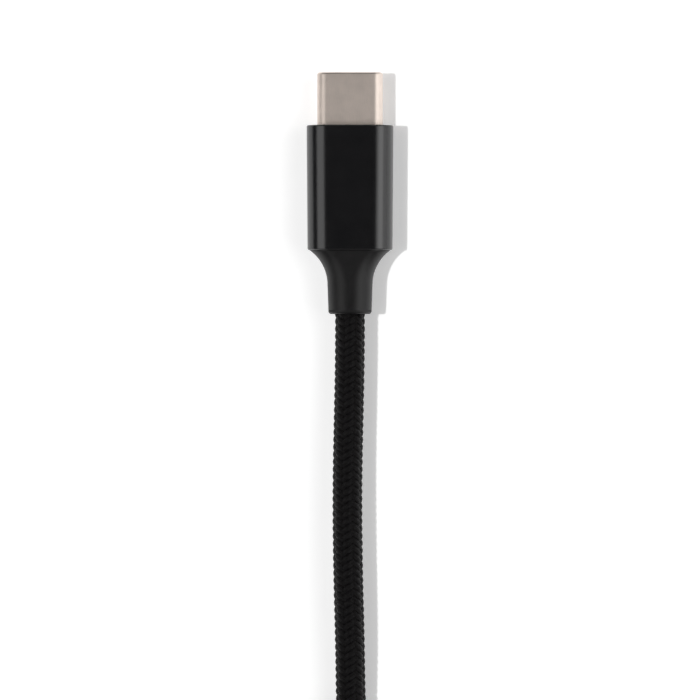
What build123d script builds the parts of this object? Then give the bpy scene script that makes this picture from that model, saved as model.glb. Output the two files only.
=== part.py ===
from build123d import *
import math
import os

os.makedirs("parts", exist_ok=True)

# Braided USB-C cable with a plug at each end, in millimetres, +Z up.
# The near plug lies on its flat side on z = 0, its mouth facing +Y, and the origin is
# under the middle of that plug. The free cable runs to -Y, is put away in a tied hank,
# and ends in an identical far plug.
#
# Plug frame, used by every plug piece below: y = 0 is the housing's front face, +Y points
# out of the mouth, the plug's axis is x = z = 0, and the upper contact row is at +z.

# Metal plug shell
SHELL_W = 8.25
SHELL_H = 2.40
SHELL_WALL = 0.28
SHELL_OUT = 6.65
SHELL_IN = 3.00
SHELL_LIP_R = 0.20

# Housing sleeve
HOUSING_FRONT_W = 10.95
HOUSING_BACK_W = 10.72
HOUSING_T = 5.30
HOUSING_L = 15.75
HOUSING_WALL = 0.50
HOUSING_SIDE_R = 2.60
HOUSING_EDGE = 0.18

# Strain-relief boot
BOOT_FRONT_W = 10.20
BOOT_T = 5.10
BOOT_NECK_W = 5.68
BOOT_TAIL_W = 5.42
BOOT_L = 8.05
BOOT_FLARE_R = 5.35
BOOT_FLANGE_L = 1.10
BOOT_TAIL_EDGE = 0.35

# Cable
CORD_D = 3.80
JACKET_D = 3.00
CABLE_LENGTH = 900.0

# Clearances between pieces that are pushed, clipped or moulded together
FIT = 0.02
LOOSE_FIT = 0.05

# Insulator (contact carrier) and its mouth
INSULATOR_FRONT = 6.35
INSULATOR_BACK = -2.60
MOUTH_W = 6.90
MOUTH_H = 0.84
MOUTH_FLOOR = 0.45

# Contacts
CONTACT_PITCH = 0.50
CONTACT_W = 0.26
CONTACT_T = 0.15
CONTACT_ROOT = 0.30
CONTACT_TIP = 5.10
CONTACT_BUMP = 0.08
TAIL_END = -4.40
UPPER_POSITIONS = (1, 4, 5, 6, 7, 9, 12)
LOWER_POSITIONS = (1, 4, 5, 9, 12)
CHANNEL_W = 0.34
CHANNEL_TOP = 0.72
CHANNEL_END = 5.25

# Side latch: a spring arm down each side of the mouth
LATCH_T = 0.15
LATCH_H = 0.56
LATCH_OUTER_X = 3.50
LATCH_ROOT = -1.00
LATCH_TIP = 5.20
LATCH_HOOK_X = 2.98
LATCH_BASE_BACK = -2.50
LATCH_BASE_FRONT = -1.70
LATCH_PLATE_T = 0.18
LATCH_CHANNEL_H = 0.68
LATCH_CHANNEL_END = 5.90

# Shielding springs above and below the mouth
SPRING_W = 5.20
SPRING_T = 0.08
SPRING_BACK = 4.30
SPRING_FRONT = 6.10
SPRING_FINGER_W = 0.90
SPRING_FINGER_PITCH = 1.70
SPRING_FINGER_Z = 0.40

# Circuit board and its parts
BOARD_W = 7.40
BOARD_T = 0.70
BOARD_FRONT = -2.80
BOARD_BACK = -8.90
CHIP_SIDE = 2.00
CHIP_T = 0.50
CHIP_AT = (1.00, -6.60)
CAPACITOR = (1.00, 0.50, 0.50)
CAPACITORS_UP = ((-1.50, -5.50), (-1.50, -6.60))
CAPACITORS_DOWN = ((-1.00, -6.00), (1.20, -6.00))
SOLDER_GAP = 0.01

# Rear shield cans, inner mould and crimp ferrule
CAN_WALL = 0.20
CAN_ROOM = 0.09
CAN_FRONT = -2.00
CAN_BACK = -11.00
MOULD_FRONT = -0.15
FERRULE_OD = 3.80
FERRULE_WALL = 0.23
FERRULE_FRONT = -11.50
FERRULE_BACK = -14.40
BRAID_FOLD_FRONT = -11.70
JACKET_FRONT = -11.40
SLEEVE_FRONT = -HOUSING_L - LOOSE_FIT

# Wires: outer diameter, place in the cable's core (x, z), and the pad (x, side of board)
WIRE_PAD_END = -8.10
WIRES = {
    "power_wire": (1.00, (-0.62, 0.25), (-2.20, 1)),
    "ground_wire": (1.00, (0.35, -0.62), (1.20, -1)),
    "data_plus_wire": (0.60, (0.35, 0.35), (0.20, 1)),
    "data_minus_wire": (0.60, (0.98, 0.30), (1.10, 1)),
    "channel_wire": (0.60, (-0.55, -0.62), (-1.60, -1)),
}

# The cans close round the shell's sides, and round the board with the thickest wire on it
CAN_W = SHELL_W + 2 * (CAN_WALL + LOOSE_FIT)
CAN_H = BOARD_T + 2 * (max(w[0] for w in WIRES.values()) + SOLDER_GAP + CAN_ROOM + CAN_WALL)

# The plugs' places, each given by its housing's front face
AXIS_Z = HOUSING_T / 2
PLUG_L = SHELL_OUT + HOUSING_L + BOOT_L
NEAR_FRONT_Y = PLUG_L / 2 - SHELL_OUT
NEAR_TAIL_Y = NEAR_FRONT_Y - HOUSING_L - BOOT_L
FAR_TAIL = (1.15, -144.0)

# Hank: turns stacked in three layers, two side by side, round two end folds
HANK_X = -10.45
HANK_FOLD_Y = -83.10
HANK_RUN = 30.22
LEAD_END_Y = -88.00
INNER_TURNS = 3
OUTER_TURNS = 2
FOLD_R_INNER = 3 * CORD_D
FOLD_R_OUTER = 4 * CORD_D
LAYERS = 3
TIE_LIFT = 1.00
TIE_T = 1.00
TIE_W = 12.0
WAIST_DEPTH = 1.60
TIE_CORNER_R = 2.40

# The cable's centre line from the near boot to the hank, and from the hank to the far boot
LEAD_ROUTE = [
    (0.00, NEAR_TAIL_Y, AXIS_Z),
    (0.00, -20.60, AXIS_Z),
    (-0.15, -27.40, 2.68),
    (-0.36, -37.20, 2.80),
    (-0.26, -47.60, 2.88),
    (0.02, -57.20, 2.68),
    (0.10, -66.00, 2.10),
    (1.20, -71.80, 1.91),
    (3.35, -76.90, 1.90),
    (4.60, -82.40, 1.91),
    (HANK_X + FOLD_R_OUTER, LEAD_END_Y, CORD_D / 2),
]
TAIL_ROUTE = [
    (HANK_X + FOLD_R_OUTER, HANK_FOLD_Y - HANK_RUN, (LAYERS - 0.5) * CORD_D),
    (4.70, -119.80, 9.42),
    (3.86, -125.80, 7.82),
    (2.02, -131.90, 4.33),
    (FAR_TAIL[0], -137.90, AXIS_Z),
    (FAR_TAIL[0], FAR_TAIL[1], AXIS_Z),
]


def bar(width, height, radius, front, back):
    """A bar along Y between two ends, with a rounded-rectangle section."""
    section = RectangleRounded(width, height, radius)
    return extrude(Plane.XZ.offset(-front) * section, front - back)


def rod(diameter, front, back):
    """A round bar along Y between two ends, on the plug's axis."""
    return extrude(Plane.XZ.offset(-front) * Circle(diameter / 2), front - back)


def block(x0, x1, y0, y1, z0, z1):
    """A box given by its two corners."""
    centre = ((x0 + x1) / 2, (y0 + y1) / 2, (z0 + z1) / 2)
    return Pos(*centre) * Box(abs(x1 - x0), abs(y1 - y0), abs(z1 - z0))


def contact_x(position):
    """Where a contact of the twelve in a row lies across the plug."""
    return (position - 6.5) * CONTACT_PITCH


def flip(solid):
    """The same piece for the lower side of the plug."""
    return mirror(solid, about=Plane.XY)


def tube_along(route, diameter):
    """A round tube along straight runs joined by tangent arcs, and its arcs' radii."""
    points = [Vector(*p) for p in route]
    radii = []
    for a, b, c in zip(points, points[1:], points[2:]):
        turn = math.radians((b - a).get_angle(c - b))
        shorter = min((b - a).length, (c - b).length)
        radii.append(0.45 * shorter / math.tan(turn / 2))
    path = FilletPolyline(*points, radius=radii)
    section = Plane(origin=path @ 0, z_dir=path % 0) * Circle(diameter / 2)
    return sweep(section, path=path), radii, path.length


# ---- the metal shell and what is in its mouth

SHELL_R = SHELL_H / 2 - FIT
SHELL_BORE_W = SHELL_W - 2 * SHELL_WALL
SHELL_BORE_H = SHELL_H - 2 * SHELL_WALL
SHELL_BORE_R = SHELL_R - SHELL_WALL
CONTACT_Z = BOARD_T / 2 + SOLDER_GAP


def plug_shell():
    outer = bar(SHELL_W, SHELL_H, SHELL_R, SHELL_OUT, -SHELL_IN)
    lip = outer.faces().sort_by(Axis.Y)[-1].edges()
    outer = fillet(lip, SHELL_LIP_R)
    return outer - bar(SHELL_BORE_W, SHELL_BORE_H, SHELL_BORE_R, SHELL_OUT, -SHELL_IN)


def contact_channels(positions):
    cut = []
    for position in positions:
        x = contact_x(position)
        x0, x1 = x - CHANNEL_W / 2, x + CHANNEL_W / 2
        passage_top = CONTACT_Z + CONTACT_T + FIT
        cut.append(block(x0, x1, MOUTH_FLOOR - 0.2, CHANNEL_END, 0.3, CHANNEL_TOP))
        cut.append(block(x0, x1, INSULATOR_BACK, MOUTH_FLOOR, BOARD_T / 2, passage_top))
    return cut


def spring_window():
    """The recess for one shielding spring's plate, and the opening that its fingers dip into."""
    half = SPRING_W / 2 + LOOSE_FIT
    plate_z = SHELL_BORE_H / 2 - FIT - SPRING_T
    top = SHELL_BORE_H / 2
    recess = block(-half, half, SPRING_BACK - LOOSE_FIT, SPRING_FRONT + FIT, plate_z - FIT, top)
    window = block(-half, half, CHANNEL_END + 0.1, SPRING_FRONT + FIT, MOUTH_H / 2 - 0.1, top)
    return [recess, window]


def insulator():
    body = bar(
        SHELL_BORE_W - 2 * FIT,
        SHELL_BORE_H - 2 * FIT,
        SHELL_BORE_R - FIT,
        INSULATOR_FRONT,
        INSULATOR_BACK,
    )
    half_w, half_h = MOUTH_W / 2, MOUTH_H / 2
    cuts = [block(-half_w, half_w, MOUTH_FLOOR, INSULATOR_FRONT, -half_h, half_h)]
    inner_x = LATCH_OUTER_X - LATCH_T - LOOSE_FIT
    latch_h = LATCH_CHANNEL_H / 2
    for side in (-1, 1):
        x0, x1 = sorted((side * inner_x, side * SHELL_BORE_W / 2))
        cuts.append(block(x0, x1, INSULATOR_BACK, LATCH_CHANNEL_END, -latch_h, latch_h))
    slit_x, slit_z = LATCH_OUTER_X, LATCH_PLATE_T / 2 + FIT
    slit_front = LATCH_BASE_FRONT + LOOSE_FIT
    cuts.append(block(-slit_x, slit_x, INSULATOR_BACK, slit_front, -slit_z, slit_z))
    cuts += contact_channels(UPPER_POSITIONS) + spring_window()
    cuts += [flip(c) for c in contact_channels(LOWER_POSITIONS) + spring_window()]
    return body - cuts


def contact_tails(positions):
    """The fixed part of each contact: through the insulator to its pad on the board."""
    front = CONTACT_ROOT - FIT
    top = CONTACT_Z + CONTACT_T
    half = CONTACT_W / 2
    places = [contact_x(p) for p in positions]
    return [block(x - half, x + half, TAIL_END, front, CONTACT_Z, top) for x in places]


def contact_beams(positions):
    """The springing part of each contact, with the bump that touches the socket's tongue."""
    low, top = CONTACT_Z, CONTACT_Z + CONTACT_T
    bump_back, bump_front = CONTACT_TIP - 0.70, CONTACT_TIP - 0.35
    underside = [
        (CONTACT_ROOT, low),
        (bump_back - 0.5, low),
        (bump_back, low - CONTACT_BUMP),
        (bump_front, low - CONTACT_BUMP),
        (CONTACT_TIP, low),
    ]
    upperside = [(y, z + top - low) for y, z in reversed(underside)]
    outline = Polyline(*underside, *upperside, close=True)
    strip = extrude(Plane.YZ * make_face(outline), CONTACT_W / 2, both=True)
    return [Pos(contact_x(p), 0, 0) * strip for p in positions]


def latch_arm(side):
    """One side arm with the hook that catches the notch in the socket's tongue."""
    outer, inner = LATCH_OUTER_X, LATCH_OUTER_X - LATCH_T
    inside = [
        (inner, LATCH_ROOT + FIT),
        (inner, LATCH_TIP - 0.95),
        (LATCH_HOOK_X, LATCH_TIP - 0.40),
        (LATCH_HOOK_X + 0.22, LATCH_TIP),
    ]
    outside = [
        (inner, LATCH_TIP),
        (LATCH_HOOK_X + 0.18, LATCH_TIP - 0.38),
        (outer, LATCH_TIP - 0.88),
        (outer, LATCH_ROOT + FIT),
    ]
    outline = Polyline(*[(side * x, y) for x, y in inside + outside], close=True)
    return extrude(make_face(outline), LATCH_H / 2, both=True)


def latch_base():
    """The cross plate held in the insulator, with the root of each side arm."""
    half, z = LATCH_H / 2, LATCH_PLATE_T / 2
    inner, outer = LATCH_OUTER_X - LATCH_T, LATCH_OUTER_X
    plate = block(-inner, inner, LATCH_BASE_BACK, LATCH_BASE_FRONT, -z, z)
    right = block(inner, outer, LATCH_BASE_BACK, LATCH_ROOT, -half, half)
    left = block(-outer, -inner, LATCH_BASE_BACK, LATCH_ROOT, -half, half)
    return plate + right + left


def shield_spring():
    """A plate under the shell with three fingers that touch the socket's tongue."""
    top = SHELL_BORE_H / 2 - FIT
    under = top - SPRING_T
    half = SPRING_W / 2
    plate = block(-half, half, SPRING_BACK, SPRING_FRONT, under, top)
    root = SPRING_FRONT
    tip_back = CHANNEL_END + 0.22
    outline = Polyline(
        (root, top),
        (root, under),
        (tip_back + 0.12, SPRING_FINGER_Z),
        (tip_back, SPRING_FINGER_Z + 0.04),
        (root - 0.14, top),
        close=True,
    )
    finger = extrude(Plane.YZ * make_face(outline), SPRING_FINGER_W / 2, both=True)
    for place in (-1, 0, 1):
        plate += Pos(place * SPRING_FINGER_PITCH, 0, 0) * finger
    return plate


# ---- the board, its parts and wires, and what covers them

def circuit_board():
    half = BOARD_T / 2
    board = block(-BOARD_W / 2, BOARD_W / 2, BOARD_BACK, BOARD_FRONT, -half, half)
    return chamfer(board.edges().filter_by(Axis.Z), 0.3)


def on_board(size, place, side):
    """A component standing on one side of the board."""
    length, width, height = size
    x, y = place
    solid = Pos(x, y, BOARD_T / 2 + SOLDER_GAP + height / 2) * Box(length, width, height)
    return solid if side > 0 else flip(solid)


def capacitors():
    up = [on_board(CAPACITOR, place, 1) for place in CAPACITORS_UP]
    return up + [on_board(CAPACITOR, place, -1) for place in CAPACITORS_DOWN]


def wire(diameter, core_place, pad):
    """An insulated wire from the cable's core to its pad on the board."""
    (core_x, core_z), (pad_x, side) = core_place, pad
    pad_z = side * (BOARD_T / 2 + SOLDER_GAP + diameter / 2)
    route = [
        (core_x, JACKET_FRONT, core_z),
        (core_x, JACKET_FRONT + 0.75, core_z),
        (pad_x, BOARD_BACK - 0.35, pad_z),
        (pad_x, WIRE_PAD_END, pad_z),
    ]
    return tube_along(route, diameter)[0]


def rear_shield(side):
    """One half of the shield can that closes over the board and the shell's back."""
    outer = bar(CAN_W, CAN_H, 0.6, CAN_FRONT, CAN_BACK)
    inner = bar(CAN_W - 2 * CAN_WALL, CAN_H - 2 * CAN_WALL, 0.4, CAN_FRONT, CAN_BACK)
    z0, z1 = sorted((side * FIT / 2, side * CAN_H))
    return (outer - inner) & block(-CAN_W, CAN_W, CAN_BACK, CAN_FRONT, z0, z1)


def crimp_ferrule():
    bore = rod(FERRULE_OD - 2 * FERRULE_WALL, FERRULE_FRONT, FERRULE_BACK)
    return rod(FERRULE_OD, FERRULE_FRONT, FERRULE_BACK) - bore


def shield_fold():
    """The cable's wire shield, folded back over the jacket and gripped by the ferrule."""
    outer = rod(FERRULE_OD - 2 * FERRULE_WALL - 2 * FIT, BRAID_FOLD_FRONT, FERRULE_BACK)
    return outer - rod(JACKET_D + 2 * FIT, BRAID_FOLD_FRONT, FERRULE_BACK)


# ---- the housing, its inner mould and the boot

BORE_W = HOUSING_BACK_W - 2 * HOUSING_WALL
BORE_H = HOUSING_T - 2 * HOUSING_WALL
BORE_R = HOUSING_SIDE_R - HOUSING_WALL
FLANGE_FRONT = BOOT_FLANGE_L - HOUSING_L
CORD_BORE_D = CORD_D + 2 * FIT


def housing():
    """The metal sleeve, a little narrower at the back than at the front.

    It is what a sleeve that leans left and one that leans right have in common, so its top
    and underside are flat."""
    outline = Plane.XZ * RectangleRounded(HOUSING_FRONT_W, HOUSING_T, HOUSING_SIDE_R)
    lean = (HOUSING_FRONT_W - HOUSING_BACK_W) / 2
    length = math.hypot(HOUSING_L, lean)
    leaning = [extrude(outline, length, dir=(side * lean, -HOUSING_L, 0)) for side in (1, -1)]
    sleeve = leaning[0] & leaning[1]
    ends = sleeve.faces().sort_by(Axis.Y)
    sleeve = chamfer(ends[-1].edges() + ends[0].edges(), HOUSING_EDGE)
    return sleeve - bar(BORE_W, BORE_H, BORE_R, 0, -HOUSING_L)


def inner_mould():
    """The plastic block that fills the housing round the shield cans and the ferrule."""
    back = FLANGE_FRONT + LOOSE_FIT
    block_ = bar(BORE_W - 2 * FIT, BORE_H - 2 * FIT, BORE_R - FIT, MOULD_FRONT, back)
    mouth = bar(SHELL_W + 2 * FIT, SHELL_H + 2 * FIT, SHELL_R + FIT, MOULD_FRONT, CAN_FRONT)
    room = bar(CAN_W + 2 * FIT, CAN_H + 2 * FIT, 0.6 + FIT, CAN_FRONT + FIT, CAN_BACK - FIT)
    return block_ - mouth - room - rod(FERRULE_OD + 2 * FIT, CAN_BACK, back)


def boot_width(depth):
    """The boot's width at a depth behind the housing: a hollow flare, then a slow taper."""
    flare_drop = (BOOT_FRONT_W - BOOT_NECK_W) / 2
    start = math.acos(1 - flare_drop / BOOT_FLARE_R)
    flare_l = BOOT_FLARE_R * math.sin(start)
    if depth < flare_l:
        rest = flare_l - depth
        side = BOOT_FLARE_R - math.sqrt(BOOT_FLARE_R**2 - rest**2)
        return BOOT_NECK_W + 2 * side
    share = (depth - flare_l) / (BOOT_L - flare_l)
    return BOOT_NECK_W + share * (BOOT_TAIL_W - BOOT_NECK_W)


def boot_section(depth, inset=0):
    """The boot's outline across the plug at a depth behind the housing."""
    width, height = boot_width(depth) - 2 * inset, BOOT_T - 2 * inset
    return Plane.XZ.offset(HOUSING_L + depth) * RectangleRounded(width, height, height / 2 - 0.05)


def boot():
    edge = BOOT_L - BOOT_TAIL_EDGE
    horn = loft([boot_section(depth) for depth in (0, 0.5, 1.1, 1.8, 2.6, 3.5, 4.6, 6.2, edge)])
    horn += loft([boot_section(edge), boot_section(BOOT_L, BOOT_TAIL_EDGE / 2)], ruled=True)
    flange = bar(BORE_W - 2 * FIT, BORE_H - 2 * FIT, BORE_R - FIT, FLANGE_FRONT, -HOUSING_L)
    return horn + flange - rod(CORD_BORE_D, FLANGE_FRONT, -HOUSING_L - BOOT_L)


def sleeve_end():
    """The end of the cable's braided cover, gripped in the boot."""
    tail = -HOUSING_L - BOOT_L
    return rod(CORD_D, SLEEVE_FRONT, tail) - rod(JACKET_D + 2 * FIT, SLEEVE_FRONT, tail)


def plug_pieces():
    """Every piece of one plug, by name, in the plug frame."""
    pieces = {
        "plug_shell": plug_shell(),
        "insulator": insulator(),
        "shield_spring_top": shield_spring(),
        "shield_spring_bottom": flip(shield_spring()),
        "latch_base": latch_base(),
        "latch_left": latch_arm(-1),
        "latch_right": latch_arm(1),
        "upper_contact_tails": contact_tails(UPPER_POSITIONS),
        "upper_contact_beams": contact_beams(UPPER_POSITIONS),
        "lower_contact_tails": [flip(s) for s in contact_tails(LOWER_POSITIONS)],
        "lower_contact_beams": [flip(s) for s in contact_beams(LOWER_POSITIONS)],
        "circuit_board": circuit_board(),
        "cable_id_chip": on_board((CHIP_SIDE, CHIP_SIDE, CHIP_T), CHIP_AT, 1),
        "capacitors": capacitors(),
        "rear_shield_top": rear_shield(1),
        "rear_shield_bottom": rear_shield(-1),
        "crimp_ferrule": crimp_ferrule(),
        "shield_fold": shield_fold(),
        "inner_mould": inner_mould(),
        "housing": housing(),
        "boot": boot(),
        "jacket_end": rod(JACKET_D, JACKET_FRONT, -HOUSING_L - BOOT_L),
        "sleeve_end": sleeve_end(),
    }
    for name, facts in WIRES.items():
        pieces[name] = wire(*facts)
    return pieces


# ---- the put-away cable: a tied hank

def hank(lead, tail):
    """The outer shape of the folded turns, with a groove for the tie at its waist."""
    r_out, r_in = FOLD_R_OUTER + CORD_D / 2, FOLD_R_INNER - CORD_D / 2
    height = LAYERS * CORD_D + TIE_LIFT
    length = HANK_RUN
    plan = SlotCenterToCenter(length, 2 * r_out) - SlotCenterToCenter(length, 2 * r_in)
    middle_y = HANK_FOLD_Y - HANK_RUN / 2
    ring = extrude(Pos(HANK_X, middle_y, 0) * Rot(0, 0, 90) * plan, height)
    ring = fillet(ring.edges().filter_by(Axis.Z, reverse=True), 0.45 * CORD_D)
    half_y = TIE_W / 2 + 0.2
    groove = block(
        HANK_X - r_out - 1, HANK_X + r_out + 1, middle_y - half_y, middle_y + half_y, -1, height + 1
    )
    width = 2 * (r_out - WAIST_DEPTH)
    thick = LAYERS * CORD_D - 2 * LOOSE_FIT
    kept = bar(width, thick, TIE_CORNER_R, half_y, -half_y)
    kept = Pos(HANK_X, middle_y, TIE_T + LOOSE_FIT + thick / 2) * kept
    return ring - (groove - kept) - lead - tail


def tie():
    """The strap round the hank's waist."""
    r_out = FOLD_R_OUTER + CORD_D / 2
    width = 2 * (r_out - WAIST_DEPTH + LOOSE_FIT)
    thick = LAYERS * CORD_D
    inner = bar(width, thick, TIE_CORNER_R + LOOSE_FIT, TIE_W / 2, -TIE_W / 2)
    outer = bar(
        width + 2 * TIE_T, thick + 2 * TIE_T, TIE_CORNER_R + TIE_T, TIE_W / 2, -TIE_W / 2
    )
    middle_y = HANK_FOLD_Y - HANK_RUN / 2
    return Pos(HANK_X, middle_y, TIE_T + thick / 2) * (outer - inner)


def save(name, shape):
    """One STEP file for each node; a list becomes one node of separate solids."""
    if isinstance(shape, list):
        shape = Compound(children=[s.solid() for s in shape])
    export_step(shape, f"parts/{name}.step")


near_place = Pos(0, NEAR_FRONT_Y, AXIS_Z)
far_front_y = FAR_TAIL[1] - HOUSING_L - BOOT_L
far_place = Pos(FAR_TAIL[0], far_front_y, AXIS_Z) * Rot(0, 0, 180)
one_plug = plug_pieces()
for prefix, place in (("", near_place), ("far_", far_place)):
    for name, shape in one_plug.items():
        placed = [place * s for s in shape] if isinstance(shape, list) else place * shape
        save(prefix + name, placed)

lead, lead_radii, lead_length = tube_along(LEAD_ROUTE, CORD_D)
tail, tail_radii, tail_length = tube_along(TAIL_ROUTE, CORD_D)
lead_room = tube_along(LEAD_ROUTE, CORD_D + 2 * LOOSE_FIT)[0]
tail_room = tube_along(TAIL_ROUTE, CORD_D + 2 * LOOSE_FIT)[0]
save("cable_lead", lead)
save("cable_tail", tail)
save("cable_hank", hank(lead_room, tail_room))
save("cable_tie", tie())

section = math.pi * CORD_D**2 / 4
fold_lengths = 2 * math.pi * (INNER_TURNS * FOLD_R_INNER + OUTER_TURNS * FOLD_R_OUTER)
run_lengths = (2 * (INNER_TURNS + OUTER_TURNS) + 1) * HANK_RUN
turns_length = fold_lengths + run_lengths - (HANK_FOLD_Y - LEAD_END_Y)
print("lead radii", [round(r, 1) for r in lead_radii], "length", round(lead_length, 2))
print("tail radii", [round(r, 1) for r in tail_radii], "length", round(tail_length, 2))
print("lead volume over section x length", round(lead.volume / (section * lead_length), 4))
print("tail volume over section x length", round(tail.volume / (section * tail_length), 4))
free = lead_length + turns_length + tail_length
print("free cable", round(free, 1), "wanted", round(CABLE_LENGTH - 2 * PLUG_L, 1))
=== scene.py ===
import math

import bmesh
import bpy
import numpy as np
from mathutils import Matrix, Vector


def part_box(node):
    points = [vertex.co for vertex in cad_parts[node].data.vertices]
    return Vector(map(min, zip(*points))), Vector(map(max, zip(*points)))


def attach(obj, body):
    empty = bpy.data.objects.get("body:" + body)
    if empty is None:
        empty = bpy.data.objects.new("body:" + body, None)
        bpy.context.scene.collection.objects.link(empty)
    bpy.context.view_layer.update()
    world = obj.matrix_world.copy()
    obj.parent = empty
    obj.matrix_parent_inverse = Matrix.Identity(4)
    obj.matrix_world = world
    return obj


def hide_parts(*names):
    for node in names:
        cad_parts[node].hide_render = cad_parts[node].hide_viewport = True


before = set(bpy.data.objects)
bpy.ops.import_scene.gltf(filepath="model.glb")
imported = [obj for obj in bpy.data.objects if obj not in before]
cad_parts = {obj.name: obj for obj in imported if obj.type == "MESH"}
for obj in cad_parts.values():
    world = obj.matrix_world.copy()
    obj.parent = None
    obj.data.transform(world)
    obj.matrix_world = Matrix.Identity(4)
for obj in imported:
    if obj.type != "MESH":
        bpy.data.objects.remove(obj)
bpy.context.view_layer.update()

# Everything is in metres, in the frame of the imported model: the near plug's mouth faces +Y,
# +Z is up, and the surface that the cable lies on is z = 0.
MM = 0.001

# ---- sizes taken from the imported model

shell_low, shell_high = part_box("plug_shell")
housing_low, housing_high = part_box("housing")
boot_low, boot_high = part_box("boot")
far_housing_low, far_housing_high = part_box("far_housing")
hank_low, hank_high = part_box("cable_hank")
tie_low, tie_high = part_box("cable_tie")

AXIS_Z = (housing_low.z + housing_high.z) / 2
NEAR_PLUG = (0.0, housing_high.y, 1)
FAR_PLUG = ((far_housing_low.x + far_housing_high.x) / 2, far_housing_low.y, -1)
HOUSING_L = housing_high.y - housing_low.y
HOUSING_FRONT_W = housing_high.x - housing_low.x
HOUSING_T = housing_high.z - housing_low.z
BOOT_L = housing_low.y - boot_low.y
BOOT_T = boot_high.z - boot_low.z
BOOT_FRONT_W = boot_high.x - boot_low.x
SHELL_OUT = shell_high.y - housing_high.y
SHELL_IN = housing_high.y - shell_low.y
SHELL_W = shell_high.x - shell_low.x
SHELL_H = shell_high.z - shell_low.z

# ---- sizes of this file's own pieces

CORD_D = 3.8 * MM
HOUSING_BACK_W = 10.72 * MM
HOUSING_WALL = 0.5 * MM
HOUSING_EDGE = 0.20 * MM
HOUSING_CORNER_R = 2.6 * MM
HOUSING_BORE_BEVEL = 0.10 * MM
SHELL_WALL = 0.28 * MM
SHELL_LIP = 0.27 * MM
SHELL_SIDE_FLAT = 0.02 * MM
BOOT_NECK_W = 5.68 * MM
BOOT_TAIL_W = 5.42 * MM
BOOT_FLARE_R = 5.35 * MM
BOOT_TAIL_EDGE = 0.35 * MM
BOOT_FRONT_IN = 0.10 * MM
BOOT_EXTRA_T = 0.10 * MM
CORD_BORE_D = 3.84 * MM
CORD_BORE_BEVEL = 0.12 * MM

# The braided cover: 16 flat yarns, eight each way, each over two and under two
YARNS_EACH_WAY = 8
BRAID_LEAD = 7.45 * MM
YARN_W = 0.78 * MM
YARN_T = 0.38 * MM
BRAID_R = 1.535 * MM
BRAID_WAVE = 0.13 * MM
WAVES_A_TURN = 4
WAVE_FLATNESS = 0.7
YARN_PUFF = 0.62
YARN_UV_SHIFT = 3.7
CORE_R = 1.40 * MM
CORE_STEP = 1.0 * MM
LINE_STEP = 0.5 * MM
LINE_SMOOTHING = 6

# Hank: turns round two end folds, two side by side and three high
HANK_X = (hank_low.x + hank_high.x) / 2
FOLD_R_OUTER = (hank_high.x - hank_low.x - CORD_D) / 2
FOLD_R_INNER = FOLD_R_OUTER - CORD_D
HANK_NEAR_Y = hank_high.y - FOLD_R_OUTER - CORD_D / 2
HANK_FAR_Y = hank_low.y + FOLD_R_OUTER + CORD_D / 2
HANK_MIDDLE_Y = (HANK_NEAR_Y + HANK_FAR_Y) / 2
TIE_T = 1.0 * MM
TIE_W = tie_high.y - tie_low.y
WAIST_IN = 1.55 * MM
WAIST_REACH = 2.0 * MM
STRAP_T = 0.96 * TIE_T
STRAP_BEVEL = 0.4 * MM
STRAP_CORNER_R = 2.4 * MM
STRAP_RIB = 0.45 * MM
STRAP_ROUNDS = 1.22
# The strap's end lifts over its start between these points, counted from one full round
STRAP_LAP_RISE = (-14, 2)

# The cable's route, point for point, from the near boot to the hank and from the hank to
# the far boot
LEAD_ROUTE = [
    (0.00000, -0.015225, 0.00265),
    (0.00000, -0.020600, 0.00265),
    (-0.00015, -0.027400, 0.00268),
    (-0.00036, -0.037200, 0.00280),
    (-0.00026, -0.047600, 0.00288),
    (0.00002, -0.057200, 0.00268),
    (0.00010, -0.066000, 0.00210),
    (0.00120, -0.071800, 0.00191),
    (0.00335, -0.076900, 0.00190),
    (0.00460, -0.082400, 0.00191),
]
TAIL_ROUTE = [
    (0.00475, -0.113320, 0.00960),
    (0.00470, -0.119800, 0.00942),
    (0.00386, -0.125800, 0.00782),
    (0.00202, -0.131900, 0.00433),
    (0.00115, -0.137900, 0.00265),
    (0.00115, -0.144000, 0.00265),
]


# ---- shader maths and materials

class Value:
    """A shader value. Maths on it adds Math nodes to its material."""

    def __init__(self, finish, socket):
        self.finish = finish
        self.socket = socket

    def math(self, operation, *others, first=True):
        values = (self, *others) if first else (*others, self)
        inputs = dict(enumerate(values))
        return self.finish.node("Math", {"operation": operation}, inputs)

    def __add__(self, other):
        return self.math("ADD", other)

    def __sub__(self, other):
        return self.math("SUBTRACT", other)

    def __rsub__(self, other):
        return self.math("SUBTRACT", other, first=False)

    def __mul__(self, other):
        return self.math("MULTIPLY", other)

    def __pow__(self, other):
        return self.math("POWER", other)

    __radd__ = __add__
    __rmul__ = __mul__

    def clamp(self, low=0.0, high=1.0):
        return self.math("MAXIMUM", low).math("MINIMUM", high)

    def ramp(self, low, high):
        """0 below low, 1 above high, smooth between them."""
        settings = {"interpolation_type": "SMOOTHSTEP"}
        inputs = {"Value": self, "From Min": low, "From Max": high}
        return self.finish.node("MapRange", settings, inputs)


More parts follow.
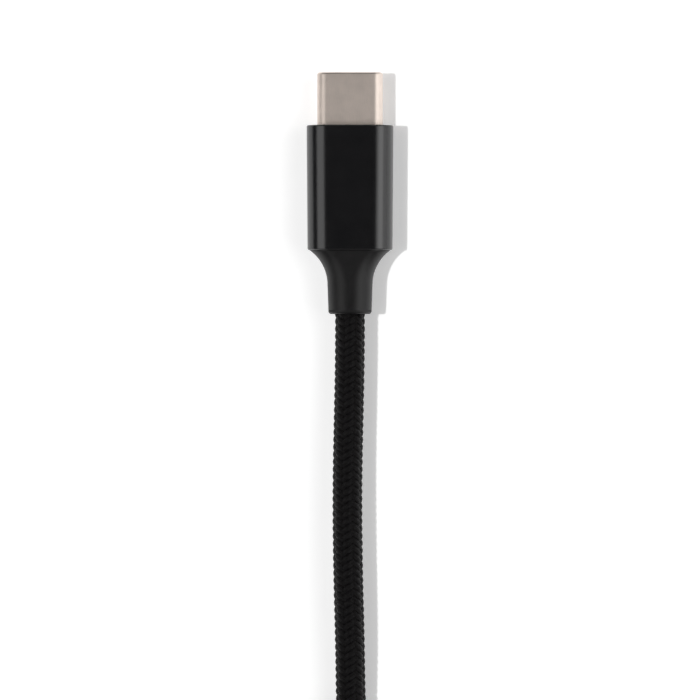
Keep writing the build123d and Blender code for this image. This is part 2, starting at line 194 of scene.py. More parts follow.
class Finish:
    """A material with one Principled shader, built from nodes."""

    def __init__(self, name, **sockets):
        self.material = bpy.data.materials.new(name)
        self.material.use_nodes = True
        self.tree = self.material.node_tree
        self.shader = self.tree.nodes["Principled BSDF"]
        self.set(**sockets)

    def node(self, kind, settings=None, inputs=None, out=0):
        """Adds a node, sets its settings and then its sockets, and returns one output."""
        made = self.tree.nodes.new("ShaderNode" + kind)
        for key, value in (settings or {}).items():
            setattr(made, key, value)
        for key, value in (inputs or {}).items():
            self.feed(made.inputs[key], value)
        return Value(self, made.outputs[out])

    def feed(self, socket, value):
        if isinstance(value, Value):
            self.tree.links.new(value.socket, socket)
        else:
            socket.default_value = value

    def set(self, **sockets):
        """Feeds the shader's sockets, whose spaces are underscores here."""
        for key, value in sockets.items():
            self.feed(self.shader.inputs[key.replace("_", " ")], value)
        return self

    def place(self, stretch=(1, 1, 1)):
        """The point on the piece, stretched along each axis."""
        point = self.node("TexCoord", out=3)
        return self.node("Mapping", None, {"Vector": point, "Scale": stretch})

    def noise(self, scale, detail=2.0, vector=None, roughness=0.5):
        inputs = {"Scale": scale, "Detail": detail, "Roughness": roughness}
        inputs["Vector"] = vector or self.place()
        return self.node("TexNoise", {"noise_dimensions": "3D"}, inputs)

    def attribute(self, name):
        return self.node("Attribute", {"attribute_name": name}, out=2)

    def blend(self, mask, low, high):
        """The colour low where the mask is 0, and high where it is 1."""
        settings = {"data_type": "RGBA"}
        inputs = {0: mask, 6: (*low, 1.0), 7: (*high, 1.0)}
        return self.node("Mix", settings, inputs, out=2)

    def bump(self, height, distance, strength=1.0):
        inputs = {"Height": height, "Distance": distance, "Strength": strength}
        return self.set(Normal=self.node("Bump", None, inputs))


def brightened(colour, factor):
    return tuple(min(1.0, c * factor) for c in colour)


def satin_nickel():
    finish = Finish("satin_nickel", Metallic=1.0)
    drawn = finish.noise(1.0, 4.0, finish.place((26000, 900, 26000)), 0.6)
    cloud = finish.noise(700.0, 2.0)
    lip = finish.attribute("edge")
    tone = (drawn * 0.55 + cloud * 0.45).ramp(0.25, 0.75)
    colour = (0.835, 0.737, 0.667)
    body = finish.blend(tone, brightened(colour, 0.93), brightened(colour, 1.07))
    finish.set(Base_Color=body, Roughness=drawn * 0.12 + 0.47 - lip * 0.10)
    return finish.bump(drawn, 1.2e-6).material


def black_anodised():
    finish = Finish("black_anodised", IOR=1.61)
    grain = finish.noise(16000.0, 3.0, roughness=0.65)
    cloud = finish.noise(420.0, 3.0)
    edge = finish.attribute("edge").ramp(0.25, 1.0)
    tone = (grain * 0.6 + cloud * 0.4).ramp(0.3, 0.7)
    worn = edge * (grain.ramp(0.35, 0.65) * 0.5 + 0.3)
    body = finish.blend(tone, (0.0035, 0.0035, 0.0042), (0.0062, 0.0060, 0.0066))
    rubbed = finish.node(
        "Mix",
        {"data_type": "RGBA"},
        {0: worn, 6: body, 7: (0.035, 0.034, 0.034, 1.0)},
        out=2,
    )
    finish.set(Base_Color=rubbed, Roughness=grain * 0.08 + cloud * 0.04 + 0.17)
    return finish.bump(grain, 4.0e-6, 0.8).material


def boot_rubber():
    finish = Finish("boot_rubber", Specular_IOR_Level=0.33)
    grain = finish.noise(6500.0, 4.0, roughness=0.65)
    cloud = finish.noise(500.0, 2.0)
    dust = finish.noise(2600.0, 5.0, roughness=0.75).ramp(0.66, 0.78)
    tone = (grain * 0.5 + cloud * 0.5).ramp(0.3, 0.7) * 0.8 + dust * 0.2
    body = finish.blend(tone, (0.0038, 0.0036, 0.0038), (0.0086, 0.0081, 0.0084))
    finish.set(Base_Color=body, Roughness=grain * 0.16 + 0.38)
    return finish.bump(grain, 1.4e-5, 0.8).material


def braid_yarn():
    """Black multifilament yarn. The UV map runs across each yarn and then along it."""
    finish = Finish("braid_yarn", Specular_IOR_Level=0.14)
    uv = finish.node("UVMap", {"uv_map": "yarn"})
    twisted = finish.node("Mapping", None, {"Vector": uv, "Scale": (11.0, 3.2, 1.0)})
    inputs = {"Vector": twisted, "Scale": 0.5, "Distortion": 1.2}
    inputs.update({"Detail": 2.0, "Detail Scale": 1.4})
    strands = finish.node("TexWave", {"bands_direction": "X"}, inputs, out=1)
    fuzz = finish.noise(14000.0, 3.0, roughness=0.7)
    cloud = finish.noise(900.0, 2.0)
    tone = (strands * 0.45 + fuzz * 0.35 + cloud * 0.2).ramp(0.2, 0.8)
    body = finish.blend(tone, (0.0020, 0.0017, 0.0018), (0.0104, 0.0095, 0.0099))
    finish.set(Base_Color=body, Roughness=fuzz * 0.20 + 0.36)
    return finish.bump(strands * 0.6 + fuzz * 0.4, 3.0e-5, 0.9).material


def moulded(name, colour, roughness):
    """A plain moulded or extruded plastic with a fine grain and a slight cloudiness."""
    finish = Finish(name, Specular_IOR_Level=0.45)
    grain = finish.noise(9000.0, 3.0, roughness=0.6)
    cloud = finish.noise(600.0, 2.0)
    tone = (grain * 0.5 + cloud * 0.5).ramp(0.3, 0.7)
    body = finish.blend(tone, brightened(colour, 0.86), brightened(colour, 1.12))
    finish.set(Base_Color=body, Roughness=grain * 0.14 + roughness - 0.07)
    return finish.bump(grain, 3.0e-6, 0.6).material


def plated(name, colour, roughness, stretch=(9000, 900, 9000)):
    """A thin stamped metal part with rolling marks along it."""
    finish = Finish(name, Metallic=1.0)
    rolled = finish.noise(1.0, 3.0, finish.place(stretch), 0.6)
    stain = finish.noise(1500.0, 3.0)
    tone = (rolled * 0.5 + stain * 0.5).ramp(0.25, 0.75)
    body = finish.blend(tone, brightened(colour, 0.88), brightened(colour, 1.08))
    finish.set(Base_Color=body, Roughness=rolled * 0.12 + stain * 0.06 + roughness - 0.09)
    return finish.bump(rolled, 1.5e-6, 0.8).material


def solder_mask():
    """Green solder mask over copper tracks, with the laminate's weave showing faintly."""
    finish = Finish("solder_mask", Coat_Weight=0.3, Coat_Roughness=0.2)
    settings = {"feature": "DISTANCE_TO_EDGE"}
    cells = finish.node("TexVoronoi", settings, {"Vector": finish.place(), "Scale": 1500.0})
    tracks = 1 - cells.ramp(0.02, 0.06)
    weave = finish.noise(7000.0, 2.0)
    tone = tracks * 0.6 + weave * 0.4
    body = finish.blend(tone, (0.012, 0.085, 0.035), (0.03, 0.20, 0.08))
    finish.set(Base_Color=body, Roughness=weave * 0.1 + 0.35)
    return finish.bump(tracks, 8.0e-6, 0.8).material


def strap_fabric():
    """A woven strap with a fine nap, its colour painted lighter on the weave's crowns and darker
    in the gaps between them, as painted highlight and painted shade. Its UV map counts ribs along
    it and across it.
    """
    finish = Finish("strap_fabric", Specular_IOR_Level=0.2)
    finish.set(Sheen_Weight=0.08, Sheen_Roughness=0.5)
    ribs = finish.node("UVMap", {"uv_map": "ribs"})
    warp, weft = (
        (finish.node("SeparateXYZ", None, {0: ribs}, out=axis) * math.pi).math("SINE")
        for axis in (0, 1)
    )
    woven = warp * weft
    # The weave's raised crowns: their height makes the bump, and in the colour they are a painted
    # highlight with painted shade in the gaps
    crown_relief_and_painted_light = woven.math("ABSOLUTE") ** 0.6
    fuzz = finish.noise(9000.0, 4.0, roughness=0.7)
    # Painted highlight and painted shade: the colour is lighter on the weave's crowns and darker
    # between them, over the nap's random tone
    tone = (crown_relief_and_painted_light * 0.45 + woven * 0.15 + fuzz * 0.5).ramp(0.1, 0.9)
    body = finish.blend(tone, (0.004, 0.004, 0.0045), (0.022, 0.0215, 0.0225))
    finish.set(Base_Color=body, Roughness=fuzz * 0.15 + 0.62)
    return finish.bump(crown_relief_and_painted_light * 0.7 + fuzz * 0.3, 1.2e-4, 0.9).material


NICKEL = satin_nickel()
ANODISED = black_anodised()
RUBBER = boot_rubber()
YARN = braid_yarn()
STRAP = strap_fabric()
JACKET = moulded("cable_jacket", (0.006, 0.006, 0.006), 0.6)
STEEL = plated("stamped_steel", (0.62, 0.61, 0.59), 0.28)
GOLD = plated("contact_gold", (0.82, 0.60, 0.25), 0.24)
BRASS = plated("ferrule_brass", (0.68, 0.55, 0.30), 0.35)
TINNED = plated("tinned_wire", (0.66, 0.63, 0.58), 0.38, (14000, 5000, 14000))
CARRIER = moulded("contact_carrier", (0.010, 0.010, 0.011), 0.42)
MOULD = moulded("inner_mould_plastic", (0.014, 0.014, 0.015), 0.5)

CAD_FINISHES = {
    "insulator": CARRIER,
    "shield_spring_top": STEEL,
    "shield_spring_bottom": STEEL,
    "latch_base": STEEL,
    "latch_left": STEEL,
    "latch_right": STEEL,
    "upper_contact_tails": GOLD,
    "upper_contact_beams": GOLD,
    "lower_contact_tails": GOLD,
    "lower_contact_beams": GOLD,
    "circuit_board": solder_mask(),
    "cable_id_chip": moulded("chip_case", (0.016, 0.016, 0.017), 0.5),
    "capacitors": moulded("capacitor_ceramic", (0.36, 0.24, 0.14), 0.4),
    "rear_shield_top": STEEL,
    "rear_shield_bottom": STEEL,
    "crimp_ferrule": BRASS,
    "shield_fold": TINNED,
    "inner_mould": MOULD,
    "jacket_end": JACKET,
    "sleeve_end": JACKET,
    "power_wire": moulded("wire_red", (0.55, 0.03, 0.025), 0.3),
    "ground_wire": moulded("wire_black", (0.015, 0.015, 0.015), 0.3),
    "data_plus_wire": moulded("wire_green", (0.03, 0.30, 0.08), 0.3),
    "data_minus_wire": moulded("wire_white", (0.75, 0.75, 0.72), 0.3),
    "channel_wire": moulded("wire_blue", (0.03, 0.10, 0.45), 0.3),
}
for node_name, cad_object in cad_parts.items():
    finish = CAD_FINISHES.get(node_name.removeprefix("far_"))
    if finish is not None:
        cad_object.data.materials.clear()
        cad_object.data.materials.append(finish)


# ---- meshes

def piece(name, points, faces, material, smooth=True):
    """A mesh object at the origin, from arrays of points and of four-sided faces."""
    mesh = bpy.data.meshes.new(name)
    points = np.asarray(points, np.float32)
    faces = np.asarray(faces, np.int32)
    mesh.vertices.add(len(points))
    mesh.vertices.foreach_set("co", points.ravel())
    mesh.loops.add(faces.size)
    mesh.loops.foreach_set("vertex_index", faces.ravel())
    mesh.polygons.add(len(faces))
    starts = np.arange(0, faces.size, faces.shape[1], dtype=np.int32)
    mesh.polygons.foreach_set("loop_start", starts)
    mesh.polygons.foreach_set("use_smooth", np.full(len(faces), smooth))
    mesh.update(calc_edges=True)
    mesh.validate()
    mesh.materials.append(material)
    made = bpy.data.objects.new(name, mesh)
    bpy.context.scene.collection.objects.link(made)
    return made


def unwrap(made, name, spots):
    """Adds a UV map from one spot for each of the piece's points."""
    corners = np.zeros(len(made.data.loops), np.int32)
    made.data.loops.foreach_get("vertex_index", corners)
    spread = np.asarray(spots, np.float32)[corners]
    made.data.uv_layers.new(name=name).data.foreach_set("uv", spread.ravel())


def loop_faces(rings, around, closed=False):
    """Faces joining rings of points, each ring going the same way round. In a closed piece
    the last ring joins the first."""
    joins = np.arange(rings if closed else rings - 1)
    ring, step = np.meshgrid(joins, np.arange(around), indexing="ij")
    here, after = ring * around, (ring + 1) % rings * around
    turn = (step + 1) % around
    return np.stack([here + step, here + turn, after + turn, after + step], -1).reshape(-1, 4)


def rounded(width, height, radius, corner=14, flat=6):
    """Points round a rounded rectangle in x and z, starting on the right side."""
    least_flat = 1e-7
    radius = min(radius, width / 2 - least_flat, height / 2 - least_flat)
    points = []
    half_w, half_h = width / 2 - radius, height / 2 - radius
    for quarter, (sx, sz) in enumerate(((1, 1), (-1, 1), (-1, -1), (1, -1))):
        for step in range(corner + 1):
            angle = (quarter + step / corner) * math.pi / 2
            x, z = radius * math.cos(angle), radius * math.sin(angle)
            points.append((sx * half_w + x, sz * half_h + z))
        if quarter in (0, 2):
            x, z = points[-1]
            points += [(x - sx * 2 * half_w * i / flat, z) for i in range(1, flat)]
    return np.array(points)


def lathe_of_outlines(name, sections, material):
    """A closed ring-shaped wall from a list of (y, width, height, radius, edge) sections.

    The list goes along the outside from front to back and returns along the inside. edge is
    how much a section's points are on a worn edge, from 0 to 1."""
    rings = []
    for y, width, height, radius, _ in sections:
        outline = rounded(width, height, radius)
        rings.append(np.insert(outline, 1, y, axis=1))
    around = len(rings[0])
    faces = loop_faces(len(rings), around, closed=True)
    made = piece(name, np.concatenate(rings), faces, material)
    edge = np.repeat([s[4] for s in sections], around).astype(np.float32)
    made.data.attributes.new("edge", "FLOAT", "POINT").data.foreach_set("value", edge)
    return made


def in_place(made, plug):
    """Moves a piece made in the plug's own frame to the plug, with its place in its mesh."""
    x, front_y, way = plug
    points = np.zeros(len(made.data.vertices) * 3, np.float32)
    made.data.vertices.foreach_get("co", points)
    points = points.reshape(-1, 3) * (way, way, 1) + (x, front_y, AXIS_Z)
    made.data.vertices.foreach_set("co", points.astype(np.float32).ravel())
    made.data.update()
    return made


def edge_rounds(y, sign, width, height, radius, size, steps):
    """Sections that round an outside edge at an end of a wall, from its side to its face."""
    sections = []
    for step in range(steps + 1):
        angle = step / steps * math.pi / 2
        inset = size * (1 - math.cos(angle))
        along = y - sign * size * (1 - math.sin(angle))
        wear = math.sin(2 * angle)
        inner_w, inner_h = width - 2 * inset, height - 2 * inset
        sections.append((along, inner_w, inner_h, radius - inset, wear))
    return sections


def plug_shell(name):
    """The drawn metal shell: a rounded lip at the mouth and a thin wall."""
    radius = SHELL_H / 2 - SHELL_SIDE_FLAT
    bore_w, bore_h = SHELL_W - 2 * SHELL_WALL, SHELL_H - 2 * SHELL_WALL
    bore_r = radius - SHELL_WALL
    lip_in = SHELL_WALL - SHELL_LIP
    sections = edge_rounds(SHELL_OUT, 1, SHELL_W, SHELL_H, radius, SHELL_LIP, 6)[::-1]
    for share in (0.9, 0.6, 0.3, 0.02):
        sections.append((SHELL_OUT * share, SHELL_W, SHELL_H, radius, 0))
    sections += [
        (-SHELL_IN, SHELL_W, SHELL_H, radius, 0),
        (-SHELL_IN, bore_w, bore_h, bore_r, 0),
        (SHELL_OUT - 2 * lip_in, bore_w, bore_h, bore_r, 0),
        (SHELL_OUT - lip_in / 2, bore_w + 0.1 * lip_in, bore_h + 0.1 * lip_in, bore_r, 0.6),
    ]
    return lathe_of_outlines(name, sections, NICKEL)


def housing(name):
    """The anodised sleeve, with small rounded edges at both ends and a bevelled bore."""
    radius = HOUSING_CORNER_R
    bore_w, bore_h = HOUSING_BACK_W - 2 * HOUSING_WALL, HOUSING_T - 2 * HOUSING_WALL
    bore_r, bevel = radius - HOUSING_WALL, HOUSING_BORE_BEVEL
    sections = edge_rounds(0, 1, HOUSING_FRONT_W, HOUSING_T, radius, HOUSING_EDGE, 5)[::-1]
    for share in np.linspace(0.03, 0.97, 12):
        width = HOUSING_FRONT_W + share * (HOUSING_BACK_W - HOUSING_FRONT_W)
        sections.append((-share * HOUSING_L, width, HOUSING_T, radius, 0))
    sections += edge_rounds(-HOUSING_L, -1, HOUSING_BACK_W, HOUSING_T, radius, HOUSING_EDGE, 5)
    sections += [
        (-HOUSING_L, bore_w, bore_h, bore_r, 0),
        (-HOUSING_L / 2, bore_w, bore_h, bore_r, 0),
        (-bevel / 2, bore_w, bore_h, bore_r, 0),
        (0, bore_w + bevel, bore_h + bevel, bore_r, 0.7),
    ]
    return lathe_of_outlines(name, sections, ANODISED)


def boot_width(depth):
    """The boot's width at a depth behind the housing: a hollow flare, then a slow taper."""
    drop = (BOOT_FRONT_W - BOOT_NECK_W) / 2
    flare_l = BOOT_FLARE_R * math.sin(math.acos(1 - drop / BOOT_FLARE_R))
    if depth < flare_l:
        rest = flare_l - depth
        return BOOT_NECK_W + 2 * (BOOT_FLARE_R - math.sqrt(BOOT_FLARE_R**2 - rest**2))
    share = (depth - flare_l) / (BOOT_L - flare_l)
    return BOOT_NECK_W + share * (BOOT_TAIL_W - BOOT_NECK_W)


def boot(name):
    """The strain relief: flush with the housing's back and flared down to a round tail."""
    front_w, front_t = BOOT_FRONT_W - BOOT_FRONT_IN, BOOT_T - BOOT_FRONT_IN
    sections = [(-HOUSING_L, front_w, front_t, BOOT_T / 2, 0)]
    for depth in np.linspace(0.04 * MM, BOOT_L - BOOT_TAIL_EDGE, 44):
        width = boot_width(depth)
        height = min(BOOT_T, width + BOOT_EXTRA_T)
        sections.append((-HOUSING_L - depth, width, height, height / 2, 0))
    width = boot_width(BOOT_L - BOOT_TAIL_EDGE)
    end = -HOUSING_L - BOOT_L
    sections += edge_rounds(end, -1, width, BOOT_T, BOOT_T / 2, BOOT_TAIL_EDGE, 7)
    bore, mouth = CORD_BORE_D, CORD_BORE_D + CORD_BORE_BEVEL
    sections += [
        (end, mouth, mouth, bore, 0),
        (end + 0.1 * MM, bore, bore, bore, 0),
        (-HOUSING_L, bore, bore, bore, 0),
    ]
    return lathe_of_outlines(name, sections, RUBBER)


def visible_plug(prefix, plug):
    """The pieces of one plug that are finished here in place of their plain solids."""
    made = []
    for part, make in (("plug_shell", plug_shell), ("housing", housing), ("boot", boot)):
        shape = in_place(make(f"{prefix}{part}_finished"), plug)
        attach(shape, "cable")
        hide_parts(prefix + part)
        made.append(shape)
    return made


# ---- the cord's line

def eased(share, start, end):
    """0 before start, 1 after end, smooth between them."""
    t = min(1.0, max(0.0, (share - start) / (end - start)))
    return t * t * (3 - 2 * t)


# Each turn of the hank: its fold radius, its height, and how the fold that follows it moves
# to the next turn: (start, end) of the sideways shift and of the climb, as shares of the fold
TURNS = [
    (FOLD_R_OUTER, 0.5, (0.50, 1.00), (0.0, 1.0)),
    (FOLD_R_INNER, 0.5, (0.0, 1.0), (0.38, 0.78)),
    (FOLD_R_INNER, 1.5, (0.12, 0.58), (0.0, 1.0)),
    (FOLD_R_OUTER, 1.5, (0.38, 0.88), (0.00, 0.36)),
    (FOLD_R_INNER, 2.5, (0.30, 0.78), (0.0, 1.0)),
    (FOLD_R_OUTER, 2.5, None, None),
]
# After this turn the cord climbs over the turn beside it
CROSSING_TURN = 4
FOLD_STEPS = 8
RUN_POINTS = (0.12, 0.31, 0.5, 0.69, 0.88)


def waist(y):
    """How near a point of a run is to the tie, from 0 to 1."""
    half = (HANK_NEAR_Y - HANK_FAR_Y) / 2 + WAIST_REACH
    return math.cos(min(1.0, abs(y - HANK_MIDDLE_Y) / half) * math.pi / 2) ** 2


def run_point(side, radius, height, y):
    lift = waist(y)
    return (HANK_X + side * (radius - WAIST_IN * lift), y, height + TIE_T * lift)


def hank_route():
    """The control points of the hank's turns, starting down its right side."""
    points = []
    # A control point lies this much outside the fold that the curve follows
    wide = 1 / math.cos(math.pi / (2 * FOLD_STEPS))
    angles = [(step + 0.5) / FOLD_STEPS for step in range(FOLD_STEPS)]
    for turn, (radius, layer, shift, climb) in enumerate(TURNS):
        height = layer * CORD_D
        downs = [HANK_NEAR_Y + share * (HANK_FAR_Y - HANK_NEAR_Y) for share in RUN_POINTS]
        first = 1 if turn == 0 else 0
        points += [run_point(1, radius, height, y) for y in downs[first:]]
        if shift is None:
            break
        for share in angles:
            angle = -share * math.pi
            x, y = math.cos(angle) * radius * wide, math.sin(angle) * radius * wide
            points.append((HANK_X + x, HANK_FAR_Y + y, height))
        points += [run_point(-1, radius, height, y) for y in downs[::-1]]
        next_radius, next_layer = TURNS[turn + 1][:2]
        for share in angles:
            angle = (1 - share) * math.pi
            r = radius + eased(share, *shift) * (next_radius - radius)
            z = height + eased(share, *climb) * (next_layer - layer) * CORD_D
            if turn == CROSSING_TURN:
                z += (eased(share, 0.0, 0.34) - eased(share, 0.74, 1.05)) * CORD_D
            x, y = math.cos(angle) * r * wide, math.sin(angle) * r * wide
            points.append((HANK_X + x, HANK_NEAR_Y + y, z))
    return points


def spline_line(points):
    """Points close together along the smooth curve that the route's points control."""
    curve = bpy.data.curves.new("cord_line", "CURVE")
    curve.dimensions = "3D"
    curve.resolution_u = 24
    spline = curve.splines.new("NURBS")
    spline.points.add(len(points) - 1)
    for control, point in zip(spline.points, points):
        control.co = (*point, 1.0)
    spline.order_u = 3
    spline.use_endpoint_u = True
    holder = bpy.data.objects.new("cord_line", curve)
    bpy.context.scene.collection.objects.link(holder)
    bpy.context.view_layer.update()
    mesh = bpy.data.meshes.new_from_object(holder)
    line = np.zeros(len(mesh.vertices) * 3)
    mesh.vertices.foreach_get("co", line)
    bpy.data.objects.remove(holder)
    bpy.data.meshes.remove(mesh)
    return line.reshape(-1, 3)


def distances(line):
    """Each point's distance along the line."""
    return np.concatenate([[0], np.cumsum(np.linalg.norm(np.diff(line, axis=0), axis=1))])


def sampled(places, along, values):
    """Rows of three values, known at the distances along, at other places between them."""
    return np.column_stack([np.interp(places, along, values[:, k]) for k in range(3)])


def evenly(line, step):
    """The line again, with points about one step apart, and each one's distance along it."""
    along = distances(line)
    places = np.linspace(0, along[-1], max(2, int(round(along[-1] / step)) + 1))
    return sampled(places, along, line), places


def frames(line):
    """For each point: the direction along the line, and two directions across it that
    don't spin round it."""
    along = np.gradient(line, axis=0)
    along /= np.linalg.norm(along, axis=1)[:, None]
    side = np.zeros_like(line)
    side[0] = np.cross(along[0], (0, 0, 1))
    side[0] /= np.linalg.norm(side[0])
    for i in range(1, len(line)):
        turned = side[i - 1] - along[i] * np.dot(side[i - 1], along[i])
        side[i] = turned / np.linalg.norm(turned)
    return along, side, np.cross(along, side)


def smoothed(line, rounds):
    """The line with its small kinks averaged out and its ends kept."""
    line = line.copy()
    for _ in range(rounds):
        line[1:-1] = (line[:-2] + 2 * line[1:-1] + line[2:]) / 4
    return line


def tube(name, line, radius, around, material):
    """A round tube along a line, closed at both ends."""
    _, side, up = frames(line)
    angle = np.arange(around) / around * 2 * math.pi
    right, rise = np.cos(angle)[None, :, None], np.sin(angle)[None, :, None]
    ring = right * side[:, None] - rise * up[:, None]
    points = (line[:, None] + radius * ring).reshape(-1, 3)
    faces = loop_faces(len(line), around)[:, ::-1]
    return close_ends(piece(name, points, faces, material))


def close_ends(made):
    """Fills the open ends of a piece and turns its faces outwards."""
    work = bmesh.new()
    work.from_mesh(made.data)
    rims = [edge for edge in work.edges if edge.is_boundary]
    bmesh.ops.holes_fill(work, edges=rims, sides=0)
    bmesh.ops.recalc_face_normals(work, faces=work.faces)
    work.to_mesh(made.data)
    work.free()
    return made


# A yarn's section, as shares of its width across and of its thickness outwards
YARN_PROFILE_FINE = [
    (-0.5, -0.15),
    (-0.46, 0.32),
    (-0.25, 0.82),
    (0.0, 1.0),
    (0.25, 0.82),
    (0.46, 0.32),
    (0.5, -0.15),
    (0.0, -0.3),
]
YARN_PROFILE_PLAIN = [
    (-0.5, -0.1),
    (-0.32, 0.72),
    (0.0, 1.0),
    (0.32, 0.72),
    (0.5, -0.1),
    (0.0, -0.3),
]


def yarn_points(way, yarn, places, centre, directions, profile):
    """One yarn's points: a ring of its section at each place along the cord."""
    tangent, side, up = directions
    across_share, out_share = np.array(profile).T
    turn = way * 2 * math.pi * places / BRAID_LEAD + 2 * math.pi * yarn / YARNS_EACH_WAY
    wave = way * np.cos(WAVES_A_TURN * turn)
    radius = BRAID_R + BRAID_WAVE * np.sign(wave) * np.abs(wave) ** WAVE_FLATNESS
    radial = np.cos(turn)[:, None] * side + np.sin(turn)[:, None] * up
    tangential = -np.sin(turn)[:, None] * side + np.cos(turn)[:, None] * up
    travel = way * 2 * math.pi * radius / BRAID_LEAD
    heading = tangent + travel[:, None] * tangential
    heading /= np.linalg.norm(heading, axis=1)[:, None]
    across = np.cross(heading, radial)
    offset = across[:, None] * (across_share * YARN_W)[None, :, None]
    out = radial[:, None] * (out_share * YARN_T)[None, :, None]
    away = radial[:, None] * radius[:, None, None] + offset
    away_length = np.linalg.norm(away, axis=2, keepdims=True)
    pulled = centre[:, None] + away / away_length * radius[:, None, None]
    return (pulled + out * YARN_PUFF).reshape(-1, 3)


def braid(name, line, along, directions, start, end, samples, profile):
    """The braided cover between two distances along the cord.

    Every yarn winds round the cord. It rides over in every second eighth of the way round,
    where the yarns that wind the other way go under, so the pattern lies in straight columns."""
    step = BRAID_LEAD / WAVES_A_TURN / samples
    places = np.arange(start, end + step / 2, step)
    centre = sampled(places, along, line)
    directions = [sampled(places, along, values) for values in directions]
    rings = (len(places), len(profile))
    across_spot = np.broadcast_to([share + 0.5 for share, _ in profile], rings)
    all_points, all_faces, all_spots = [], [], []
    for way in (1, -1):
        for yarn in range(YARNS_EACH_WAY):
            first = len(all_points) * len(places) * len(profile)
            all_points.append(yarn_points(way, yarn, places, centre, directions, profile))
            all_faces.append(loop_faces(*rings) + first)
            along_spot = (places / MM + yarn * YARN_UV_SHIFT)[:, None]
            spots = np.stack([across_spot, np.broadcast_to(along_spot, rings)], -1)
            all_spots.append(spots.reshape(-1, 2))
    made = piece(name, np.concatenate(all_points), np.concatenate(all_faces), YARN)
    unwrap(made, "yarn", np.concatenate(all_spots))
    return made


def strap():
    """The hook-and-loop strap: round the hank's waist, with its end laid over its start."""
    middle_z = TIE_T + 1.5 * CORD_D
    width = tie_high.x - tie_low.x - TIE_T
    height = 3 * CORD_D + TIE_T
    outline = rounded(width, height, STRAP_CORNER_R + TIE_T / 2, corner=10, flat=12)
    start = len(outline) // 8
    turns = int(len(outline) * STRAP_ROUNDS)
    lap_start, lap_end = (len(outline) + offset for offset in STRAP_LAP_RISE)
    path = np.array([outline[(start + i) % len(outline)] for i in range(turns)])
    lap = np.array([eased(i, lap_start, lap_end) for i in range(turns)])
    heading = np.gradient(path, axis=0)
    heading /= np.linalg.norm(heading, axis=1)[:, None]
    outward = np.column_stack([heading[:, 1], -heading[:, 0]])
    path = path + outward * (lap * STRAP_T)[:, None]
    half_w, half_t = TIE_W / 2, STRAP_T / 2
    across = [-half_w + STRAP_BEVEL, -half_w * 0.4, half_w * 0.4, half_w - STRAP_BEVEL]
    top = [(y, half_t) for y in across]
    bottom = [(y, -half_t) for y in reversed(across)]
    section = [(-half_w, 0), *top, (half_w, 0), *bottom]
    run = distances(path)
    points, ribs = [], []
    for place, out, length in zip(path, outward, run):
        for along_y, thick in section:
            spot = place + out * thick
            points.append((HANK_X + spot[0], HANK_MIDDLE_Y + along_y, middle_z + spot[1]))
            ribs.append((length / STRAP_RIB, along_y / STRAP_RIB))
    made = piece("cable_strap", points, loop_faces(len(path), len(section)), STRAP)
    unwrap(made, "ribs", ribs)
    return close_ends(made)


# ---- camera, lights and floor

VIEW_CENTRE_Y = -19.75 * MM
VIEW_WIDTH = 88.2 * MM
CAMERA_HEIGHT = 0.90
SENSOR = 36.0

camera_data = bpy.data.cameras.new("camera")
camera_data.sensor_width = SENSOR
camera_data.lens = SENSOR * (CAMERA_HEIGHT - AXIS_Z) / VIEW_WIDTH
camera_data.clip_start = 0.01
camera = bpy.data.objects.new("camera", camera_data)
camera.location = (0, VIEW_CENTRE_Y, CAMERA_HEIGHT)
bpy.context.scene.collection.objects.link(camera)
bpy.context.scene.camera = camera
bpy.context.scene.view_settings.view_transform = "Standard"


def lamp(name, kind, energy, location, towards, **settings):
    data = bpy.data.lights.new(name, kind)
    data.energy = energy
    for key, value in settings.items():
        setattr(data, key, value)
    made = bpy.data.objects.new(name, data)
    made.location = location
    made.rotation_euler = (Vector(towards) - Vector(location)).to_track_quat("-Z", "Y").to_euler()
    bpy.context.scene.collection.objects.link(made)
    return made


MIDDLE = (0, VIEW_CENTRE_Y, 0)
KEY_HEIGHT = 61
KEY_STRENGTH = 1.61
KEY_ANGLE = math.radians(2.2)
LIGHT_DISTANCE = 0.8
PANEL_BREADTH = 0.7
AMBIENT = 0.085
FLOOR_GLOW = 0.22
OVERHEAD_GLOSS = 0.03


def from_side(side, height):
    """A place to the left (-1) or right (1) of the object, height degrees above it."""
    away = LIGHT_DISTANCE * math.cos(math.radians(height))
    return (side * away, VIEW_CENTRE_Y, LIGHT_DISTANCE * math.sin(math.radians(height)))


def softbox(name, side, height, spread, radiance):
    """A large even panel, spread degrees high as the object sees it."""
    size = 2 * LIGHT_DISTANCE * math.tan(math.radians(spread / 2))
    power = radiance * math.pi * size * PANEL_BREADTH
    shape = {"shape": "RECTANGLE", "size": PANEL_BREADTH, "size_y": size}
    return lamp(name, "AREA", power, from_side(side, height), MIDDLE, **shape)


key = lamp("key", "SUN", KEY_STRENGTH, from_side(-1, KEY_HEIGHT), MIDDLE, angle=KEY_ANGLE)
key.visible_glossy = False
softbox("left_softbox", side=-1, height=50, spread=42, radiance=1.55)
softbox("right_softbox", side=1, height=35, spread=66, radiance=1.2)
softbox("right_centre", side=1, height=43, spread=28, radiance=1.25)


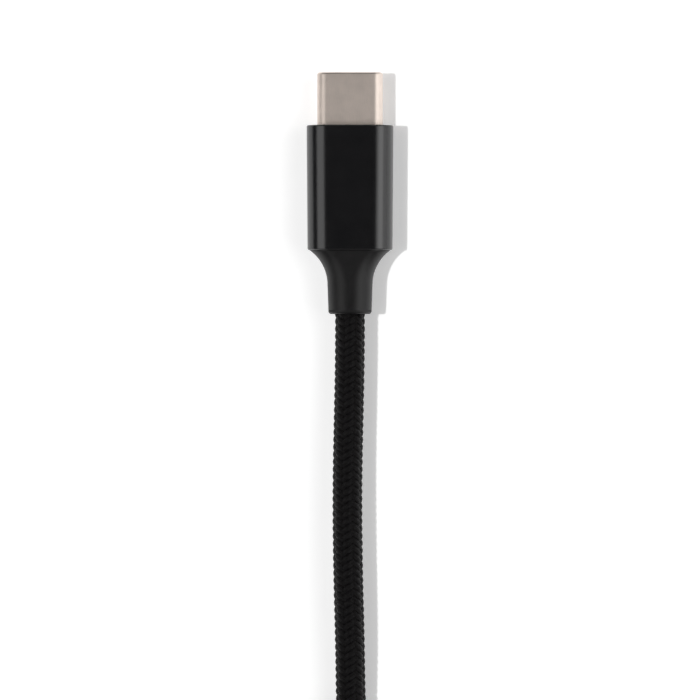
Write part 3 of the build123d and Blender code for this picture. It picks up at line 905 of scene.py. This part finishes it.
def surroundings():
    """White where the camera looks past the floor, a soft fill as light, and dark overhead
    in reflections, as over a camera."""
    world = bpy.data.worlds.new("surroundings")
    world.use_nodes = True
    tree = world.node_tree
    background = tree.nodes["Background"]
    background.inputs["Color"].default_value = (1, 1, 1, 1)
    rays = tree.nodes.new("ShaderNodeLightPath")
    level = AMBIENT
    for ray, strength in (("Is Glossy Ray", OVERHEAD_GLOSS), ("Is Camera Ray", 1.0)):
        mix = tree.nodes.new("ShaderNodeMix")
        tree.links.new(rays.outputs[ray], mix.inputs[0])
        if isinstance(level, float):
            mix.inputs[2].default_value = level
        else:
            tree.links.new(level, mix.inputs[2])
        mix.inputs[3].default_value = strength
        level = mix.outputs[0]
    tree.links.new(level, background.inputs["Strength"])
    bpy.context.scene.world = world


def floor():
    """A plain white table top. Its slight glow is seen but lights nothing."""
    half = 1.5
    points = [(-half, -half, 0), (half, -half, 0), (half, half, 0), (-half, half, 0)]
    finish = Finish("table_white", Specular_IOR_Level=0.2)
    paper = finish.noise(300.0, 3.0)
    white = finish.blend(paper, (0.915, 0.915, 0.915), (0.93, 0.93, 0.93))
    finish.set(Base_Color=white, Roughness=0.7, Emission_Color=(1, 1, 1, 1))
    rays = finish.tree.nodes.new("ShaderNodeLightPath")
    camera_ray, glossy_ray, transmission_ray = (
        Value(finish, rays.outputs[name])
        for name in ("Is Camera Ray", "Is Glossy Ray", "Is Transmission Ray")
    )
    seen = (camera_ray + glossy_ray + transmission_ray).clamp()
    finish.set(Emission_Strength=seen * FLOOR_GLOW)
    made = piece("table", points, [(0, 1, 2, 3)], finish.material, smooth=False)


surroundings()
floor()

# ---- the object

visible_plug("", NEAR_PLUG)
far_pieces = visible_plug("far_", FAR_PLUG)

route = LEAD_ROUTE + hank_route() + TAIL_ROUTE[1:]
rough_line, _ = evenly(spline_line(route), LINE_STEP)
cord_line, cord_along = evenly(smoothed(rough_line, LINE_SMOOTHING), LINE_STEP)
cord_directions = frames(cord_line)
cord_end = float(cord_along[-1])
core_line, _ = evenly(cord_line, CORE_STEP)
core = tube("cable_core", core_line, CORE_R, 14, JACKET)
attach(core, "cable")
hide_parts("cable_lead", "cable_hank", "cable_tail")

LEAD_SPAN = 74 * MM
HANK_PARTS = 4
cuts = [0.0, *np.linspace(LEAD_SPAN, cord_end, HANK_PARTS + 1).tolist()]
for part, span in enumerate(zip(cuts, cuts[1:])):
    samples, profile = (12, YARN_PROFILE_FINE) if part == 0 else (8, YARN_PROFILE_PLAIN)
    made = braid(
        f"cable_braid_{part}", cord_line, cord_along, cord_directions, *span, samples, profile
    )
    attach(made, "cable")

tie = strap()
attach(tie, "cable")
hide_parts("cable_tie")
